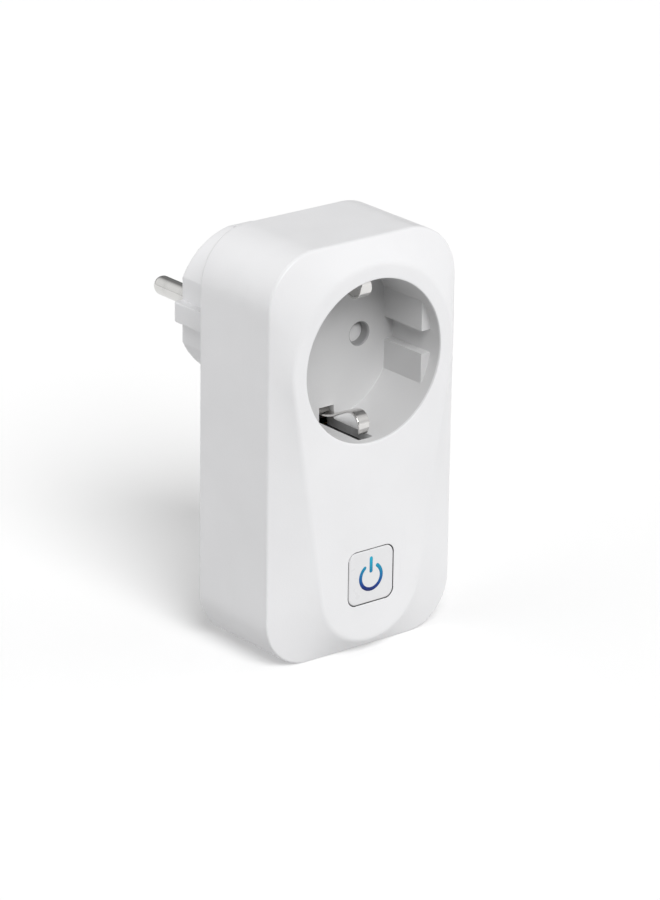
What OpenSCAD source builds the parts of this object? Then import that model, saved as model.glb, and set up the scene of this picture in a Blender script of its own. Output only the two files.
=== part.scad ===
/* [Body] */
// Width of the body
body_w = 54.6; // [54:0.2:57]
// Height of the body
body_h = 101; // [100:0.5:104]
// Depth from the back face to the outer rim of the front
rim_depth = 26.5; // [26:0.1:27]
// Depth from the back face to the raised front face
body_depth = 31; // [30.5:0.1:31.5]
// Corner radius at the upper end
top_corner_r = 13.4; // [12.6:0.1:13.6]
// Corner radius at the lower end
low_corner_r = 12.2; // [11.8:0.1:12.6]
// Wall thickness of the two shells
wall = 2; // [1.8:0.1:2.2]
// Rounding of the back edge
back_edge_r = 1.2; // [0.8:0.1:1.4]

/* [Socket] */
// Radius of the socket recess
well_r = 19.75; // [19.6:0.05:19.9]
// Height of the socket axis above the base
well_z = 72.6; // [72:0.1:73]
// Depth of the socket recess
well_depth = 17.5; // [17.4:0.1:17.7]
// Distance between the two pins, of the socket and of the plug
pin_pitch = 19; // [18.8:0.1:19.2]
// Radius of the pin holes in the recess floor
pin_hole_r = 2.65; // [2.6:0.05:2.8]
// Distance from the socket axis to the flat guides at its sides
guide_x = 17; // [16.9:0.1:17.2]

/* [Plug] */
// Height of the plug axis above the base
plug_z = 74.4; // [74:0.1:74.6]
// Radius of the plug boss
boss_r = 18.6; // [18.4:0.1:18.8]
// Length of the plug boss behind the body
boss_len = 20.8; // [20.4:0.1:21.2]
// Radius of the two pins
pin_r = 2.4; // [2.37:0.01:2.43]
// Length of the pins behind the boss
pin_len = 19.2; // [18.5:0.1:19.5]

/* [Button] */
// Width and height of the square button
button_w = 13.2; // [13:0.1:13.4]
// Height of the button's centre above the base
button_z = 19.6; // [19.4:0.1:19.8]
// Corner radius of the button
button_r = 2.2; // [1.8:0.1:2.6]
// Travel of the button
button_travel = 0.4; // [0.3:0.05:0.5]

/* [Raised front] */
// Radius of the raised face around the socket
island_r = 23.5; // [23.2:0.1:23.7]
// Radius of the rounded lower end of the raised face
tail_r = 14.6; // [14.2:0.1:15]
// Height of that lower end's centre above the base
tail_z = 18; // [17.6:0.1:18.4]

/* [Hidden] */
$fn = 96;
eps = 0.01;

// Y runs from the raised front face to the tips of the pins, and its zero is midway.
centre_y = (body_depth - boss_len - pin_len) / 2;
front_y = -body_depth;
rim_y = -rim_depth;
seam_y = rim_y + 0.6;
floor_y = front_y + well_depth;
floor_t = 2.5;
floor_back_y = floor_y + floor_t;
well_wall = 1.45;
mouth_lip = 0.6;
guide_front_y = front_y + 3.7;
guide_gap = 5.6;
pin_x = pin_pitch / 2;

button_gap = 0.22;

// Earth clips and the slots that they stand in
clip_w = 3.4;
clip_t = 0.6;
slot_w = 4.4;
slot_front_y = front_y + 2.9;
slot_cover_r = 22.5;
clip_pivot_y = floor_back_y + 1.6;
clip_pivot_r = 16.6;
strap_r = 16.2;
strap_t = 0.8;

busbar_x = 4.4;
busbar_z = 60.3;

// Shutter and the chamber behind the recess floor
shutter_y = floor_back_y + 0.2;
shutter_t = 2.2;
pivot_r = 1.5;
shutter_open_a = 38;
shutter_stop_a = 26;
carrier_r = 19.8;
carrier_plate_y = floor_back_y + 2.6;
carrier_back_y = carrier_plate_y + 2;
tower_back_y = 8;

// Boss and what it holds
boss_flat_x = 16.8;
boss_rib_x = 19.1;
boss_rib_h = 5;
boss_wall = 1.8;
boss_face_t = 2;
pin_neck_r = 2.2;

// Screw posts: housing screws sit in the corners, well screws hold the recess to the cover
post_r = 3;
seat_post_r = 3.6;
seat_r = 2.5;
pilot_r = 1.25;
shank_r = 1.2;
post_split_y = -15;
screw_seat_y = -12;
corner_post = [19.9, 7.6];
board_post = [[-17.5, 46.8], [18.4, 34.8]];
ear_r = 2.9;
ears = [[17.5, well_z - 17.5], [12.4, well_z + 21.4]];

// Boards
power_board_y = -5.5;
power_board_t = 1.6;
board_back_y = power_board_y + power_board_t;
control_board_y = -23;
control_board_t = 1;
tact_front_y = -26.5;
plunger_front_y = -28;
relay_x = [-21, -8.3];
relay_z = [15, 44];
relay_front_y = -21.2;
relay_hinge = [-7.2, 37.55];

// A flat shape in X and Z, extruded from y0 to y1
module slab(y0, y1) {
    translate([0, y1, 0]) rotate([90, 0, 0]) linear_extrude(y1 - y0) children();
}

// A rod along Y
module rod(x, z, y0, y1, r) {
    translate([x, y1, z]) rotate([90, 0, 0]) cylinder(r = r, h = y1 - y0);
}

module box(x, y, z) {
    translate([x[0], y[0], z[0]]) cube([x[1] - x[0], y[1] - y[0], z[1] - z[0]]);
}

module both_sides() {
    children();
    mirror([1, 0, 0]) children();
}

// Rounded rectangle standing on z0, centred on X
module round_rect(w, h, r, z0 = 0) {
    translate([-w / 2 + r, z0]) square([w - 2 * r, h]);
    translate([-w / 2, z0 + r]) square([w, h - 2 * r]);
    for (x = [r - w / 2, w / 2 - r], z = [z0 + r, z0 + h - r])
        translate([x, z]) circle(r);
}

// Outline of the body seen from the front, with its upper corners rounder than its lower ones
module body_outline(inset = 0) {
    for (half = [[low_corner_r, 0], [top_corner_r, body_h / 2 - 1]])
        intersection() {
            round_rect(body_w - 2 * inset, body_h - 2 * inset, half[0] - inset, inset);
            translate([-body_w / 2, half[1]]) square([body_w, body_h / 2 + 1]);
        }
}

// Front of the body: the rim outline at one depth, blended to the raised face at another
module front_form(rim0, rim1, face, rim_inset, face_inset) {
    hull() {
        slab(rim0, rim1) body_outline(rim_inset, $fn = 64);
        rod(0, well_z, face, face + eps, island_r - face_inset, $fn = 96);
        rod(0, tail_z, face, face + eps, tail_r - face_inset, $fn = 64);
    }
}

module corner_posts() {
    for (z = [corner_post[1], body_h - corner_post[1]])
        both_sides() translate([corner_post[0], 0, z]) children();
}

module board_posts() {
    for (p = board_post) translate([p[0], 0, p[1]]) children();
}

module ear_posts() {
    for (e = ears) both_sides() translate([e[0], 0, e[1]]) children();
}

module front_cover() {
    color("white") {
        difference() {
            front_form(rim_y, seam_y, front_y, 0, 0);
            front_form(rim_y, seam_y + 1, front_y + wall, wall, 1.2);
            rod(0, well_z, front_y - 1, seam_y, well_r);
            rod(0, well_z, front_y + mouth_lip, seam_y + 1, well_r + well_wall + 0.05);
            slab(front_y - 1, seam_y)
                round_rect(button_w + 2 * button_gap, button_w + 2 * button_gap,
                    button_r + button_gap, button_z - button_w / 2 - button_gap);
        }
        // Tongue that locates the cover in the housing
        difference() {
            union() {
                slab(rim_y, seam_y) body_outline(wall - 0.5);
                slab(seam_y - eps, seam_y + 2) body_outline(wall + 0.1);
            }
            slab(rim_y - 1, seam_y + 3) body_outline(wall + 1.2);
        }
        // Screw posts
        difference() {
            intersection() {
                front_form(rim_y, post_split_y + 10, front_y + 1, 1, 0.6);
                union() {
                    corner_posts() rod(0, 0, front_y, post_split_y, post_r);
                    ear_posts() rod(0, 0, front_y, floor_y, ear_r - 0.3);
                }
            }
            corner_posts() rod(0, 0, -25, post_split_y + 1, pilot_r);
            ear_posts() rod(0, 0, -25, floor_y + 1, pilot_r);
            rod(0, well_z, front_y, floor_y + 1, well_r + well_wall + 0.1);
        }
    }
}

// Cross-section of the plug boss: a round with two flats, and a rib on each flat
module boss_section(inset = 0) {
    intersection() {
        circle(boss_r - inset);
        square([2 * (boss_flat_x - inset), 2 * boss_r], center = true);
    }
}

module rear_housing() {
    color("white") difference() {
        union() {
            difference() {
                hull() {
                    slab(seam_y, -back_edge_r) body_outline($fn = 64);
                    slab(-0.35 * back_edge_r - eps, -0.35 * back_edge_r)
                        body_outline(0.35 * back_edge_r, $fn = 64);
                    slab(-eps, 0) body_outline(back_edge_r, $fn = 64);
                }
                slab(seam_y - 1, -wall) body_outline(wall);
            }
            translate([0, 0, plug_z]) {
                slab(-wall, boss_len) boss_section();
                box([-boss_rib_x, boss_rib_x], [-wall, boss_len], [-boss_rib_h / 2, boss_rib_h / 2]);
            }
            corner_posts() rod(0, 0, post_split_y + 0.05, -wall + eps, seat_post_r);
            board_posts() rod(0, 0, power_board_y + power_board_t, -wall + eps, 2.4);
        }
        translate([0, 0, plug_z]) {
            slab(-wall - 1, boss_len - boss_face_t) boss_section(boss_wall);
            for (x = [-pin_x, pin_x]) rod(x, 0, boss_len - 3, boss_len + 1, pin_neck_r + 0.04);
            for (s = [-1, 1]) mirror([0, 0, s > 0 ? 0 : 1]) {
                box([-3.2, 3.2], [1.5, 19], [17.6, boss_r + 1]);
                box([-3.2, 3.2], [1.5, 2.6], [14, boss_r]);
            }
        }
        corner_posts() {
            rod(0, 0, post_split_y - 1, 1, pilot_r);
            rod(0, 0, screw_seat_y, 1, seat_r);
        }
        board_posts() rod(0, 0, power_board_y, -1, 0.9);
    }
}

module socket_well() {
    color("lightgray") difference() {
        union() {
            rod(0, well_z, front_y + mouth_lip, floor_back_y, well_r + well_wall);
            // Covers of the two clip slots
            for (s = [-1, 1]) translate([0, 0, well_z]) mirror([0, 0, s > 0 ? 0 : 1])
                box([-slot_w / 2 - 1.2, slot_w / 2 + 1.2], [slot_front_y - 0.6, floor_back_y],
                    [well_r, slot_cover_r]);
            // Ears for the screws
            for (e = ears) both_sides() {
                rod(e[0], e[1], floor_y, floor_back_y, ear_r);
                translate([0, 0, well_z]) rotate([0, -atan2(e[1] - well_z, e[0]), 0])
                    box([well_r, norm([e[0], e[1] - well_z]) - 1],
                        [floor_y + 0.3, floor_back_y - 0.3], [-1.9, 1.9]);
            }
        }
        difference() {
            rod(0, well_z, front_y, floor_y, well_r);
            // Flat guides, with a gap for the rib of a plug
            for (z = [-1, 1]) translate([0, 0, well_z]) mirror([0, 0, z > 0 ? 0 : 1]) both_sides()
                box([guide_x, well_r + 1], [guide_front_y, floor_y + 1], [guide_gap / 2, well_r]);
        }
        for (x = [-pin_x, pin_x]) {
            rod(x, well_z, floor_y - 1, floor_back_y + 1, pin_hole_r);
            translate([x, floor_y + 0.4, well_z]) rotate([90, 0, 0])
                cylinder(r1 = pin_hole_r, r2 = pin_hole_r + 0.4 + eps, h = 0.4 + eps);
        }
        // Clip slots, through the floor and into the wall
        for (s = [-1, 1]) translate([0, 0, well_z]) mirror([0, 0, s > 0 ? 0 : 1]) {
            box([-slot_w / 2, slot_w / 2], [slot_front_y, floor_back_y + 1], [16.1, slot_cover_r - 0.8]);
        }
        ear_posts() rod(0, 0, floor_y - 1, floor_back_y + 1, pilot_r + 0.1);
    }
}

module contact_carrier() {
    color("dimgray") difference() {
        union() {
            difference() {
                rod(0, well_z, floor_back_y, carrier_back_y, carrier_r);
                rod(0, well_z, floor_back_y - 1, carrier_plate_y, carrier_r - 2);
            }
            rod(0, well_z, floor_back_y, carrier_back_y, pivot_r);
            // Stops of the shutter, one for each end of its turn
            for (a = [shutter_stop_a, -shutter_open_a - shutter_stop_a])
                rod(6.5 * cos(a), well_z + 6.5 * sin(a), shutter_y, carrier_back_y, 0.6);
            both_sides() box([5, 14], [carrier_back_y - eps, tower_back_y], [well_z - 5, well_z + 5]);
        }
        both_sides() {
            rod(pin_x, well_z, floor_back_y, carrier_back_y + 1, 3);
            box([pin_x - 3.2, pin_x + 3.2], [carrier_back_y - 0.4, tower_back_y + 1],
                [well_z - 3.6, well_z + 3.6]);
            box([pin_x - 0.2, pin_x + 3.2], [tower_back_y - 1.6, tower_back_y + 1],
                [well_z - 6, well_z - 3]);
        }
        // Ways for the legs of the earth strap
        for (s = [-1, 1]) translate([0, 0, well_z]) mirror([0, 0, s > 0 ? 0 : 1])
            box([-2.8, 2.8], [carrier_plate_y - 1, carrier_back_y + 1], [strap_r - 0.3, carrier_r - 2]);
    }
}

module shutter() {
    color("whitesmoke") translate([0, 0, well_z]) difference() {
        union() {
            rod(0, 0, shutter_y, shutter_y + shutter_t, 3.6);
            both_sides() {
                rod(pin_x, 0, shutter_y, shutter_y + shutter_t, 3.4);
                box([0, pin_x], [shutter_y, shutter_y + shutter_t], [-2.2, 2.2]);
            }
        }
        rod(0, 0, shutter_y - 1, shutter_y + shutter_t + 1, pivot_r + 0.06);
        rod(0, 0, shutter_y + 0.9, shutter_y + shutter_t + 1, 2.8);
        // Ramps that turn the shutter when two pins push on it
        for (a = [0, 180]) rotate([0, a, 0]) translate([pin_x, shutter_y, 1.2])
            rotate([-24, 0, 0]) translate([-4, -4, 0]) cube([8, 4, 6]);
    }
}

// A tube along a helix about Y, as one polyhedron
module helix(turns, mean_r, wire_r, y0, y1, steps = 24, sides = 8) {
    rings = round(turns * steps);
    points = [for (i = [0:rings], j = [0:sides - 1])
        let (a = 360 * i / steps, b = 360 * j / sides, r = mean_r + wire_r * cos(b))
        [r * cos(a), y0 + (y1 - y0) * i / rings + wire_r * sin(b), r * sin(a)]];
    skin = [for (i = [0:rings - 1], j = [0:sides - 1])
        let (k = (j + 1) % sides)
        [i * sides + j, i * sides + k, (i + 1) * sides + k, (i + 1) * sides + j]];
    ends = [[for (j = [sides - 1:-1:0]) j], [for (j = [0:sides - 1]) rings * sides + j]];
    polyhedron(points, concat(skin, ends), convexity = 6);
}

module shutter_spring() {
    color("silver") translate([0, 0, well_z])
        helix(2.5, 2.2, 0.18, shutter_y + 1.15, carrier_plate_y - 0.22);
}

// U-shaped sleeve for a pin of the inserted plug, with a tail down to the power board
module pin_contact() {
    for (s = [-1, 1]) translate([0, 0, well_z]) mirror([0, 0, s > 0 ? 0 : 1])
        box([pin_x - 2.8, pin_x + 2.8], [carrier_back_y, 7.6], [2.3, 2.9]);
    box([pin_x - 2.8, pin_x + 2.8], [7, 7.6], [well_z - 2.9, well_z + 2.9]);
    box([pin_x + 0.1, pin_x + 2.8], [7, 7.6], [64, well_z - 2.3]);
    box([pin_x + 0.1, pin_x + 2.8], [board_back_y, 7.6], [64, 64.6]);
    box([pin_x + 0.1, pin_x + 2.8], [board_back_y, board_back_y + 0.6], [44, 64.6]);
}

module line_contact() {
    color("goldenrod") pin_contact();
}

module neutral_contact() {
    color("goldenrod") mirror([1, 0, 0]) pin_contact();
}

// Side view of an earth clip, with Y along the recess and distance from the socket axis upward
clip_path = [[clip_pivot_y, clip_pivot_r], [-11.8, 17.1], [floor_y, 17.8], [-17.4, 16.9], [-22.4, 14.5],
    [-24.4, 14.05], [-26, 14.5], [-27.1, 15.7], [-27.4, 17.2], [-27, 18.7]];

module earth_clip() {
    translate([-clip_w / 2, 0, 0]) rotate([90, 0, 90]) linear_extrude(clip_w)
        for (i = [0:len(clip_path) - 2]) {
            a = clip_path[i];
            b = clip_path[i + 1];
            d = (b - a) / norm(b - a) * clip_t / 2;
            polygon([a + [d[1], -d[0]], b + [d[1], -d[0]], b - [d[1], -d[0]], a - [d[1], -d[0]]]);
            translate(b) circle(clip_t / 2, $fn = 24);
        }
    translate([-clip_w / 2, clip_pivot_y, clip_pivot_r]) rotate([0, 90, 0])
        cylinder(r = 0.8, h = clip_w);
}

module upper_earth_clip() {
    color("silver") translate([0, 0, well_z]) earth_clip();
}

module lower_earth_clip() {
    color("silver") translate([0, 0, well_z]) mirror([0, 0, 1]) earth_clip();
}

module earth_strap() {
    color("silver") translate([0, 0, well_z]) {
        box([-2.5, 2.5], [-4.2, -3.4], [-strap_r - strap_t, strap_r + strap_t]);
        for (s = [-1, 1]) mirror([0, 0, s > 0 ? 0 : 1])
            box([-2.5, 2.5], [clip_pivot_y + 0.95, -3.4], [strap_r, strap_r + strap_t]);
    }
}

// Earth contact let into the outside of the boss, with a leg in to the earth strap
module plug_earth() {
    intersection() {
        union() {
            box([-3, 3], [1.7, 18.8], [boss_r - 0.8, boss_r]);
            box([-3, 3], [1.7, 2.5], [14.2, boss_r]);
        }
        rod(0, 0, 1, 20, boss_r);
    }
    box([-3, 3], [-3.4, 2.5], [14.2, 15]);
}

module upper_plug_earth() {
    color("silver") translate([0, 0, plug_z]) plug_earth();
}

module lower_plug_earth() {
    color("silver") translate([0, 0, plug_z]) mirror([0, 0, 1]) plug_earth();
}

// Solid round pin with a domed tip, a collar inside the boss and a riveted tail
module plug_pin(x) {
    dome_y = boss_len + pin_len - pin_r;
    color("silver") {
        rod(x, plug_z, boss_len, dome_y, pin_r);
        rod(x, plug_z, boss_len - boss_face_t - 0.1, boss_len + eps, pin_neck_r);
        translate([x, dome_y, plug_z]) sphere(pin_r);
        rod(x, plug_z, boss_len - boss_face_t - 1.6, boss_len - boss_face_t, 3.6);
        rod(x, plug_z, 12.4, boss_len - boss_face_t - 1.5, 1.6);
    }
}

module line_pin() {
    plug_pin(pin_x);
}

module neutral_pin() {
    plug_pin(-pin_x);
}

// Strip from a pin's tail, down the boss and forward to the power board
module pin_busbar() {
    difference() {
        union() {
            box([busbar_x, 12.6], [13.2, 14], [plug_z - 3, plug_z + 3]);
            box([busbar_x, busbar_x + 3], [13.2, 14], [busbar_z, plug_z]);
        }
        rod(pin_x, plug_z, 12, 15, 1.65);
    }
    box([busbar_x, busbar_x + 3], [board_back_y, 14], [busbar_z, busbar_z + 0.8]);
    box([busbar_x, busbar_x + 3], [board_back_y, board_back_y + 0.8], [44, busbar_z + 0.8]);
}

module line_busbar() {
    color("orange") pin_busbar();
}

module neutral_busbar() {
    color("orange") mirror([1, 0, 0]) pin_busbar();
}

// Power symbol as a flat shape: an open ring and a bar
icon_r = 3.07;
icon_stroke = 0.66;
icon_z = button_z - 0.25;
icon_gap = 34;

module icon(grow = 0) {
    r = icon_stroke / 2 + grow;
    translate([0, icon_z]) {
        difference() {
            circle(icon_r + r);
            circle(icon_r - r);
            polygon([[0, 0], [9 * sin(icon_gap), 9 * cos(icon_gap)],
                [-9 * sin(icon_gap), 9 * cos(icon_gap)]]);
        }
        for (s = [-1, 1]) translate([s * icon_r * sin(icon_gap), icon_r * cos(icon_gap)]) circle(r, $fn = 24);
        translate([-r, 1.1]) square([2 * r, 3.3]);
        for (z = [1.1, 4.4]) translate([0, z]) circle(r, $fn = 24);
    }
}

module button_square(w, r) {
    round_rect(w, w, r, button_z - w / 2);
}

module button_cap() {
    color("whitesmoke") difference() {
        union() {
            slab(front_y, -28.2) button_square(button_w, button_r);
            slab(front_y + wall + 0.05, -28.2) button_square(button_w + 1.8, button_r);
        }
        slab(front_y - 1, -28) icon(0.02);
        slab(-29.4, -28) button_square(10, 1);
    }
}

module light_guide() {
    color("deepskyblue") {
        slab(front_y, -29.2) icon();
        slab(-29.38, -28.4) button_square(9.8, 0.9);
        rod(0, button_z, -28.4 - eps, plunger_front_y - 0.05, 1.6);
    }
}

module tact_switch() {
    color("dimgray") difference() {
        box([-3, 3], [tact_front_y, control_board_y], [button_z - 3, button_z + 3]);
        rod(0, button_z, tact_front_y - 1, -24.4, 1.86);
    }
}

module tact_plunger() {
    color("black") rod(0, button_z, plunger_front_y, -25.2, 1.8);
}

module status_led() {
    color("aliceblue") {
        box([-1.4, 1.4], [-24.1, control_board_y], [button_z + 3.6, button_z + 7]);
        rod(0, button_z + 5.3, -24.9, -24.1 + eps, 1.2);
    }
}

module control_board() {
    color("darkgreen") box([-10, 10], [control_board_y, control_board_y + control_board_t], [11, 48.5]);
}

module radio_board() {
    color("navy") box([-8, 8], [-24, control_board_y], [31.5, 47.5]);
}

module radio_shield() {
    color("silver") difference() {
        box([-6.5, 6.5], [-26.2, -24], [32.5, 43]);
        box([-6.2, 6.2], [-25.9, -23], [32.8, 42.7]);
    }
}

// Row of square pins joining the two boards
module board_header() {
    pitch = 2.54;
    color("black") box([-4.5, -2], [-18, -15.5], [14.8, 14.8 + 5 * pitch]);
    color("gold") for (i = [0:4])
        box([-3.57, -2.93], [control_board_y + control_board_t, power_board_y],
            [14.8 + (i + 0.5) * pitch - 0.32, 14.8 + (i + 0.5) * pitch + 0.32]);
}

module power_board() {
    color("darkgreen") difference() {
        box([-21.5, 21.5], [power_board_y, power_board_y + power_board_t], [12.5, 49.4]);
        board_posts() rod(0, 0, power_board_y - 1, -1, 1.05);
    }
}

module relay_base() {
    color("dimgray") box([relay_x[0] + 0.85, relay_x[1] - 0.85], [-6.9, power_board_y],
        [relay_z[0] + 0.85, relay_z[1] - 0.85]);
}

module relay_case() {
    color("black") difference() {
        box(relay_x, [relay_front_y, power_board_y], relay_z);
        box([relay_x[0] + 0.8, relay_x[1] - 0.8], [relay_front_y + 0.8, power_board_y + 1],
            [relay_z[0] + 0.8, relay_z[1] - 0.8]);
    }
}

relay_mid_x = (relay_x[0] + relay_x[1]) / 2;
coil_y = -12.6;
coil_z = 21;

module relay_coil() {
    color("firebrick") translate([relay_mid_x, coil_y, coil_z]) {
        cylinder(r = 4, h = 14.6);
        for (z = [0, 14]) translate([0, 0, z]) cylinder(r = 4.8, h = 1);
        translate([0, 0, -0.95]) cylinder(r = 1.8, h = 16.9);
    }
}

module relay_yoke() {
    color("silver") {
        box([relay_mid_x - 4, relay_mid_x + 4], [-18, -7], [coil_z - 2, coil_z - 1]);
        box([relay_mid_x - 4, relay_mid_x + 4], [-7.7, -6.95], [coil_z - 2, relay_hinge[1] - 0.1]);
    }
}

module relay_armature() {
    color("silver") {
        box([relay_mid_x - 4, relay_mid_x + 4], [-17, relay_hinge[0]], [relay_hinge[1], relay_hinge[1] + 1]);
        box([relay_mid_x - 1.5, relay_mid_x + 1.5], [-20.1, -17 + eps],
            [relay_hinge[1], relay_hinge[1] + 0.4]);
    }
}

// Blade that rises from the relay's base to the contact under the armature's tip
module relay_fixed_contact() {
    color("gold") {
        box([relay_mid_x - 1.5, relay_mid_x + 1.5], [-20, -6.9], [relay_z[0] + 1.6, relay_z[0] + 2.4]);
        box([relay_mid_x - 1.5, relay_mid_x + 1.5], [-20, -19.2], [relay_z[0] + 1.6, relay_hinge[1] - 1.5]);
        translate([relay_mid_x, -19.6, relay_hinge[1] - 1.5 - eps]) cylinder(r = 0.4, h = 0.6);
    }
}

module transformer_core() {
    color("dimgray") difference() {
        box([4, 19], [-19.5, power_board_y], [14.5, 29.5]);
        box([6.5, 16.5], [-20.5, power_board_y + 1], [17, 27]);
    }
}

module transformer_winding() {
    color("gold") box([6.55, 16.45], [-18.5, power_board_y], [17.05, 26.95]);
}

module bulk_capacitors() {
    color("steelblue") for (x = [3.2, 11.8]) {
        rod(x, 34.8, -17, power_board_y, 4);
        rod(x, 34.8, -17.3, -17 + eps, 3.4);
    }
}

module x_capacitor() {
    color("gold") box([-6, 7], [-16.5, power_board_y], [43.6, 48.8]);
}

module varistor() {
    color("royalblue") {
        translate([14.5, -10.6, 43.6]) cylinder(r = 4.4, h = 3.6);
        for (x = [12, 17]) box([x - 0.4, x + 0.4], [-7, power_board_y], [45, 45.8]);
    }
}

module fuse_resistor() {
    color("forestgreen") {
        translate([1, -7.6, 41.2]) rotate([0, 90, 0]) cylinder(r = 1.7, h = 8);
        translate([-0.2, -7.6, 41.2]) rotate([0, 90, 0]) cylinder(r = 0.35, h = 10.4);
        for (x = [0, 10]) box([x - 0.3, x + 0.3], [-7.6, power_board_y], [40.9, 41.5]);
    }
}

// Pan-head screw along -Y with a cross recess; its seat is at y = 0
module screw(length, head_r) {
    difference() {
        union() {
            rod(0, 0, 0, 1.4, head_r);
            rod(0, 0, -length, eps, shank_r);
        }
        for (a = [0, 90]) rotate([0, a, 0]) box([-0.35, 0.35], [0.7, 2], [-1.5, 1.5]);
    }
}

module housing_screws() {
    color("gray") corner_posts() translate([0, screw_seat_y, 0]) screw(10, 2.2);
}

module well_screws() {
    color("gray") ear_posts() translate([0, floor_back_y, 0]) screw(9, 2.3);
}

module board_screws() {
    color("gray") board_posts() difference() {
        union() {
            rod(0, 0, power_board_y - 1.2, power_board_y, 1.9);
            rod(0, 0, power_board_y - eps, -1.2, 0.85);
        }
        for (a = [0, 90]) rotate([0, a, 0])
            box([-0.3, 0.3], [power_board_y - 2, power_board_y - 0.6], [-1.2, 1.2]);
    }
}

module in_place() {
    translate([0, centre_y, 0]) children();
}

in_place() front_cover();
in_place() rear_housing();
in_place() socket_well();
in_place() contact_carrier();
in_place() shutter();
in_place() shutter_spring();
in_place() line_contact();
in_place() neutral_contact();
in_place() upper_earth_clip();
in_place() lower_earth_clip();
in_place() earth_strap();
in_place() upper_plug_earth();
in_place() lower_plug_earth();
in_place() line_pin();
in_place() neutral_pin();
in_place() line_busbar();
in_place() neutral_busbar();
in_place() button_cap();
in_place() light_guide();
in_place() tact_switch();
in_place() tact_plunger();
in_place() status_led();
in_place() control_board();
in_place() radio_board();
in_place() radio_shield();
in_place() board_header();
in_place() power_board();
in_place() relay_base();
in_place() relay_case();
in_place() relay_coil();
in_place() relay_yoke();
in_place() relay_armature();
in_place() relay_fixed_contact();
in_place() transformer_core();
in_place() transformer_winding();
in_place() bulk_capacitors();
in_place() x_capacitor();
in_place() varistor();
in_place() fuse_resistor();
in_place() housing_screws();
in_place() well_screws();
in_place() board_screws();
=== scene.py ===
"""Smart plug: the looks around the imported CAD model. All lengths in the helpers are in millimetres."""
import bmesh
import bpy
import math
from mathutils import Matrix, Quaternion, Vector
from mathutils.geometry import tessellate_polygon


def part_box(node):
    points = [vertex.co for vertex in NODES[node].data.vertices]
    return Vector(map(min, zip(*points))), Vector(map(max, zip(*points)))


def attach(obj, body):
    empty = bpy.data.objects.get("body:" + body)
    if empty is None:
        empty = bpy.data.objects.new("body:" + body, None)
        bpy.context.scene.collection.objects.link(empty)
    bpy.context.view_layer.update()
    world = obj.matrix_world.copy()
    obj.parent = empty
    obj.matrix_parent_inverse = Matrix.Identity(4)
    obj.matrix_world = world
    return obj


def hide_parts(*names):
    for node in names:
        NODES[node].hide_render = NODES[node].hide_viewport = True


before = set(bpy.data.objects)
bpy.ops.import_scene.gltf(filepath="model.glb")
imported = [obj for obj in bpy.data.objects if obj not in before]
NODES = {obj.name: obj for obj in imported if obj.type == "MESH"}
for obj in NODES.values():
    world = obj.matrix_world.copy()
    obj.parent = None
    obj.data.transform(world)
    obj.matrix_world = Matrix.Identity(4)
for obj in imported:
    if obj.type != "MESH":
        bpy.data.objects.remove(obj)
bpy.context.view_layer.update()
MM = 0.001
TAU = 2 * math.pi


def node_box(name):
    """Corners of a CAD node in millimetres."""
    low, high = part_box(name)
    return [c / MM for c in low], [c / MM for c in high]


# Places that the CAD model gives, and some given as numbers
COVER = node_box("front_cover")
HOUSING = node_box("rear_housing")
WELL = node_box("socket_well")
BUTTON = node_box("button_cap")
PIN = node_box("line_pin")
FRONT = COVER[0][1]                 # the raised face
RIM = FRONT + 4.5                   # the outer rim of the cover
SEAM = RIM + 0.6                    # where the cover meets the housing
BACK = FRONT + 31.0                 # the housing's back face
BOSS_FACE = HOUSING[1][1]
FLOOR = FRONT + 17.5
FLOOR_BACK = WELL[1][1]
LIP = FRONT + 0.6
GUIDE = FRONT + 3.7
W = COVER[1][0]                     # half the body's width
H = COVER[1][2]
WELL_Z = 72.6                       # the recess's axis
WELL_R = 19.75
WELL_WALL = 1.45
PLUG_Z = (PIN[0][2] + PIN[1][2]) / 2
BUTTON_Z = (BUTTON[0][2] + BUTTON[1][2]) / 2
PIN_X = 9.5

# Sizes of the outlines
BODY_LOW_R, BODY_TOP_R = 12.2, 13.4             # the body's lower and upper corners
ISLAND_TOP_R, ISLAND_LOW_R, ISLAND_LOW_Z = 23.5, 14.6, 18.0
GUIDE_X, GUIDE_GAP = 17.0, 2.8                  # the side guides' flats, and half the gap in each
BOSS_R, BOSS_FLAT = 18.6, 16.8
RIB_X, RIB_HALF, GROOVE_HALF = 19.1, 2.5, 3.2
CLIP_W = 3.4
SCREW_BORE_R = 1.25
BUTTON_W = 13.2


# ---------------------------------------------------------------- outlines in X and Z

def arc(cx, cz, r, a0, a1, n, ends=True):
    """Points of an arc, angles in degrees from +X towards +Z."""
    last = n if ends else n - 1
    return [(cx + r * math.cos(math.radians(a0 + (a1 - a0) * i / n)),
             cz + r * math.sin(math.radians(a0 + (a1 - a0) * i / n))) for i in range(last + 1)]


def circle(cx, cz, r, n=96, start=0.0):
    """Points of a full circle, counter-clockwise."""
    return arc(cx, cz, r, start, start + 360, n, ends=False)


def dense_body(inset=0.0):
    """The body's outline, counter-clockwise."""
    low_x, top_x, top_z = W - BODY_LOW_R, W - BODY_TOP_R, H - BODY_TOP_R
    half = arc(low_x, BODY_LOW_R, BODY_LOW_R - inset, -90, 0, 90)
    half += [(W - inset, BODY_LOW_R + (top_z - BODY_LOW_R) * i / 90) for i in range(1, 90)]
    half += arc(top_x, top_z, BODY_TOP_R - inset, 0, 90, 90)
    half += [(top_x * (1 - i / 15), H - inset) for i in range(1, 16)]
    left = [(-x, z) for x, z in reversed(half) if x > 1e-6]
    bottom = [(-low_x + 2 * low_x * i / 30, inset) for i in range(1, 30)]
    return half + left + bottom


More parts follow.
